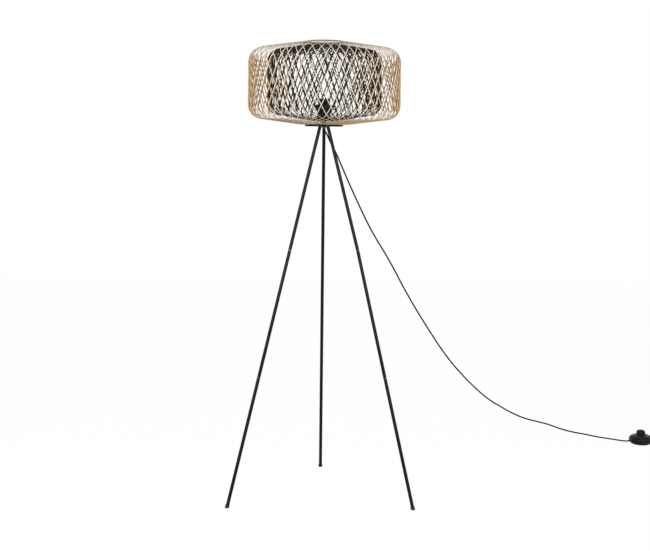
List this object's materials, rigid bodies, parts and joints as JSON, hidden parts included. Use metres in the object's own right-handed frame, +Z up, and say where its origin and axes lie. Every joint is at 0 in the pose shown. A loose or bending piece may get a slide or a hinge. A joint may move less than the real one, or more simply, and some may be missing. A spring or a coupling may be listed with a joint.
{
  "type": "floor lamp",
  "caption": "Floor lamp with a round double lattice shade on three thin splayed black tube legs, with a cord, a foot switch and a plug.",
  "frame": {"origin": "on the floor, at the middle of the footprint of the lamp without its cord", "axes": "+Z up, +Y away from the picture's camera, +X to its right"},
  "size_m": [1.6967, 1.1913, 1.488],
  "materials": {
    "natural_rattan": "split rattan strips, unvarnished, warm tan",
    "black_rattan": "split rattan strips stained black",
    "black_steel": "satin black powder coat",
    "zinc_steel": "zinc plated",
    "brass": "plain",
    "ceramic": "unglazed",
    "black_plastic": "moulded, fine satin",
    "black_rubber": "matt",
    "cord_sheath": "smooth PVC sheath"
  },
  "bodies": {
    "lamp": {"base_plate": "black_steel", "leg_stud_left": "zinc_steel", "leg_upper_left": "black_steel", "leg_middle_left": "black_steel", "leg_lower_left": "black_steel", "joint_screw_upper_left": "zinc_steel", "joint_screw_lower_left": "zinc_steel", "foot_cap_left": "black_rubber", "leg_stud_right": "zinc_steel", "leg_upper_right": "black_steel", "leg_middle_right": "black_steel", "leg_lower_right": "black_steel", "joint_screw_upper_right": "zinc_steel", "joint_screw_lower_right": "zinc_steel", "foot_cap_right": "black_rubber", "leg_stud_back": "zinc_steel", "leg_upper_back": "black_steel", "leg_middle_back": "black_steel", "leg_lower_back": "black_steel", "joint_screw_upper_back": "zinc_steel", "joint_screw_lower_back": "zinc_steel", "foot_cap_back": "black_rubber", "nipple": "zinc_steel", "nipple_nut": "black_steel", "holder_spacer": "black_steel", "cord_bush": "black_plastic", "inner_lead": "cord_sheath", "holder_cap": "black_plastic", "holder_shell": "black_plastic", "clamp_ring": "black_plastic", "holder_core": "ceramic", "screw_shell": "brass", "centre_contact": "brass", "shade_frame": "black_steel", "outer_lattice": "natural_rattan", "outer_top_ring": "black_steel", "inner_lattice": "black_rattan", "inner_bottom_ring": "black_steel", "inner_top_ring": "black_steel", "cord_drop": "cord_sheath", "switch_base": "black_plastic", "switch_cover": "black_plastic", "switch_block": "ceramic", "button_spring": "zinc_steel", "switch_pad": "black_rubber", "switch_screw_left": "zinc_steel", "switch_screw_right": "zinc_steel", "switch_relief_in": "black_rubber", "switch_relief_out": "black_rubber", "cord_link": "cord_sheath", "cord_coil": "cord_sheath", "coil_tie": "black_rubber", "cord_end": "cord_sheath", "plug_relief": "black_rubber", "plug_body": "black_plastic", "plug_pin_left": "zinc_steel", "plug_pin_right": "zinc_steel"},
    "button": {"switch_button": "black_plastic"}
  },
  "joints": [
    {"name": "switch_press", "type": "slide", "parent": "lamp", "child": "button", "axis": [0, 0, -1], "range_m": [0, 0.004], "stiffness_N_per_m": 1000, "springref_m": -0.003, "deforming": ["button_spring"]}
  ]
}
